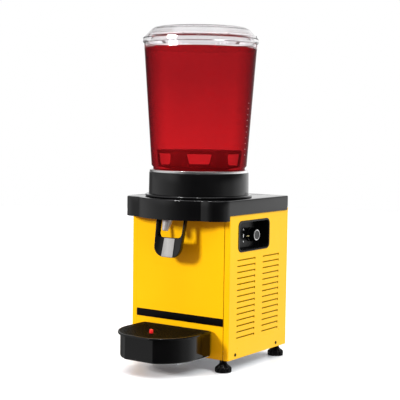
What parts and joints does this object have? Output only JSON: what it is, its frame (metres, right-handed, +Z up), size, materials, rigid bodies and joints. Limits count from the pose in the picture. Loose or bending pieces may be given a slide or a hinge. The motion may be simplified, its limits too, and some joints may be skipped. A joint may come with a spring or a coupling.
{
  "type": "cold drink dispenser",
  "caption": "Counter-top chilled drink dispenser: clear stirred bowl and lid on a louvred cabinet, push-lever tap under a round-nosed cover, drip tray with grid, side selector knob.",
  "frame": {"origin": "on the floor under the middle of the overall box", "axes": "+Z up, front and tap face -Y, control knob on the +X side"},
  "size_m": [0.2548, 0.3858, 0.7111],
  "materials": {
    "yellow_paint": "satin gloss powder coat",
    "black_gloss": "polished",
    "black_matte": "fine grain",
    "clear_plastic": "clear, polished",
    "stainless": "polished",
    "chrome": "mirror",
    "zinc": "galvanised",
    "copper": "drawn tube",
    "foam": "foam",
    "rubber": "matte",
    "silicone": "matte",
    "black_paint": "satin",
    "aluminium": "mill",
    "red_plastic": "polished",
    "grey_plastic": "moulded"
  },
  "bodies": {
    "cabinet": {"base_pan": "zinc", "left_panel": "yellow_paint", "right_panel": "yellow_paint", "front_panel": "yellow_paint", "rear_panel": "yellow_paint", "top_plate": "zinc", "top_cover": "black_gloss", "name_strip": "black_gloss", "collar": "black_gloss", "collar_ring": "black_gloss", "evaporator_dish": "stainless", "evaporator_coil": "copper", "insulation_ring": "foam", "impeller_spindle": "stainless", "bowl_gasket": "silicone", "tap_bracket": "black_matte", "lever_pins": "stainless", "tap_body": "black_matte", "tap_cap": "black_matte", "tap_spout": "chrome", "outlet_pipe": "stainless", "tap_spring": "stainless", "tray_bracket": "zinc", "control_bezel": "black_matte", "selector_switch": "grey_plastic", "mixer_motor": "black_paint", "compressor": "black_paint", "compressor_mounts": "rubber", "condenser_fins": "aluminium", "condenser_coil": "copper", "fan_shroud": "black_matte", "fan_motor": "black_paint", "filter_drier": "copper", "suction_line": "copper", "discharge_line": "copper", "capillary_line": "copper", "cable_gland": "black_matte", "panel_screws": "black_paint"},
    "bowl": {"bowl": "clear_plastic"},
    "lid": {"bowl_lid": "clear_plastic"},
    "guard": {"mixer_guard": "black_matte"},
    "impeller": {"impeller": "black_matte"},
    "mixer_drive": {"motor_shaft": "stainless", "drive_rotor": "black_matte"},
    "fan": {"fan_blade": "aluminium"},
    "lever": {"tap_lever": "black_gloss", "lever_insert": "chrome"},
    "plunger": {"tap_plunger": "grey_plastic", "plunger_seal": "rubber"},
    "knob": {"control_knob": "black_matte", "knob_cap": "chrome", "selector_shaft": "stainless"},
    "tray": {"drip_tray": "black_gloss"},
    "grid": {"drip_grid": "black_gloss"},
    "float": {"tray_float": "red_plastic"},
    "foot_front_left": {"front_left_foot": "rubber"},
    "foot_front_right": {"front_right_foot": "rubber"},
    "foot_rear_left": {"rear_left_foot": "rubber"},
    "foot_rear_right": {"rear_right_foot": "rubber"}
  },
  "joints": [
    {"name": "bowl_lift", "type": "slide", "parent": "cabinet", "child": "bowl", "axis": [0, 0, 1], "range_m": [0, 0.09]},
    {"name": "lid_lift", "type": "slide", "parent": "bowl", "child": "lid", "axis": [0, 0, 1], "range_m": [0, 0.12]},
    {"name": "guard_lift", "type": "slide", "parent": "cabinet", "child": "guard", "axis": [0, 0, 1], "range_m": [0, 0.06]},
    {"name": "mixer_drive_spin", "type": "hinge", "parent": "cabinet", "child": "mixer_drive", "pos_m": [0, 0.0201, 0.38], "axis": [0, 0, 1], "continuous": true},
    {"name": "impeller_spin", "type": "hinge", "parent": "cabinet", "child": "impeller", "pos_m": [0, 0.0201, 0.41], "axis": [0, 0, 1], "continuous": true},
    {"name": "fan_spin", "type": "hinge", "parent": "cabinet", "child": "fan", "pos_m": [0.07, 0.0701, 0.14], "axis": [1, 0, 0], "continuous": true},
    {"name": "lever_push", "type": "hinge", "parent": "cabinet", "child": "lever", "pos_m": [0, -0.06731, 0.34313], "axis": [1, 0, 0], "range_deg": [0, 12.6], "stiffness_Nm_per_rad": 1.5, "springref_deg": -8.59},
    {"name": "plunger_open", "type": "slide", "parent": "cabinet", "child": "plunger", "axis": [0, -0.2334, -0.9724], "range_m": [0, 0.0033], "deforming": ["tap_spring"]},
    {"name": "knob_turn", "type": "hinge", "parent": "cabinet", "child": "knob", "pos_m": [0.102, 0.0661, 0.277], "axis": [1, 0, 0], "range_deg": [-40, 40]},
    {"name": "tray_slide", "type": "slide", "parent": "cabinet", "child": "tray", "axis": [0, -1, 0], "range_m": [0, 0.13]},
    {"name": "grid_lift", "type": "slide", "parent": "tray", "child": "grid", "axis": [0, 0, 1], "range_m": [0, 0.05]},
    {"name": "float_rise", "type": "slide", "parent": "tray", "child": "float", "axis": [0, 0, 1], "range_m": [0, 0.012]},
    {"name": "foot_front_left_turn", "type": "hinge", "parent": "cabinet", "child": "foot_front_left", "pos_m": [-0.106, -0.0349, 0.013], "axis": [0, 0, 1], "continuous": true},
    {"name": "foot_front_right_turn", "type": "hinge", "parent": "cabinet", "child": "foot_front_right", "pos_m": [0.106, -0.0349, 0.013], "axis": [0, 0, 1], "continuous": true},
    {"name": "foot_rear_left_turn", "type": "hinge", "parent": "cabinet", "child": "foot_rear_left", "pos_m": [-0.106, 0.1751, 0.013], "axis": [0, 0, 1], "continuous": true},
    {"name": "foot_rear_right_turn", "type": "hinge", "parent": "cabinet", "child": "foot_rear_right", "pos_m": [0.106, 0.1751, 0.013], "axis": [0, 0, 1], "continuous": true}
  ],
  "couplings": [
    {"joint": "impeller_spin", "follows": "mixer_drive_spin", "ratio": 1},
    {"joint": "plunger_open", "follows": "lever_push", "m_per_rad": 0.0145}
  ]
}
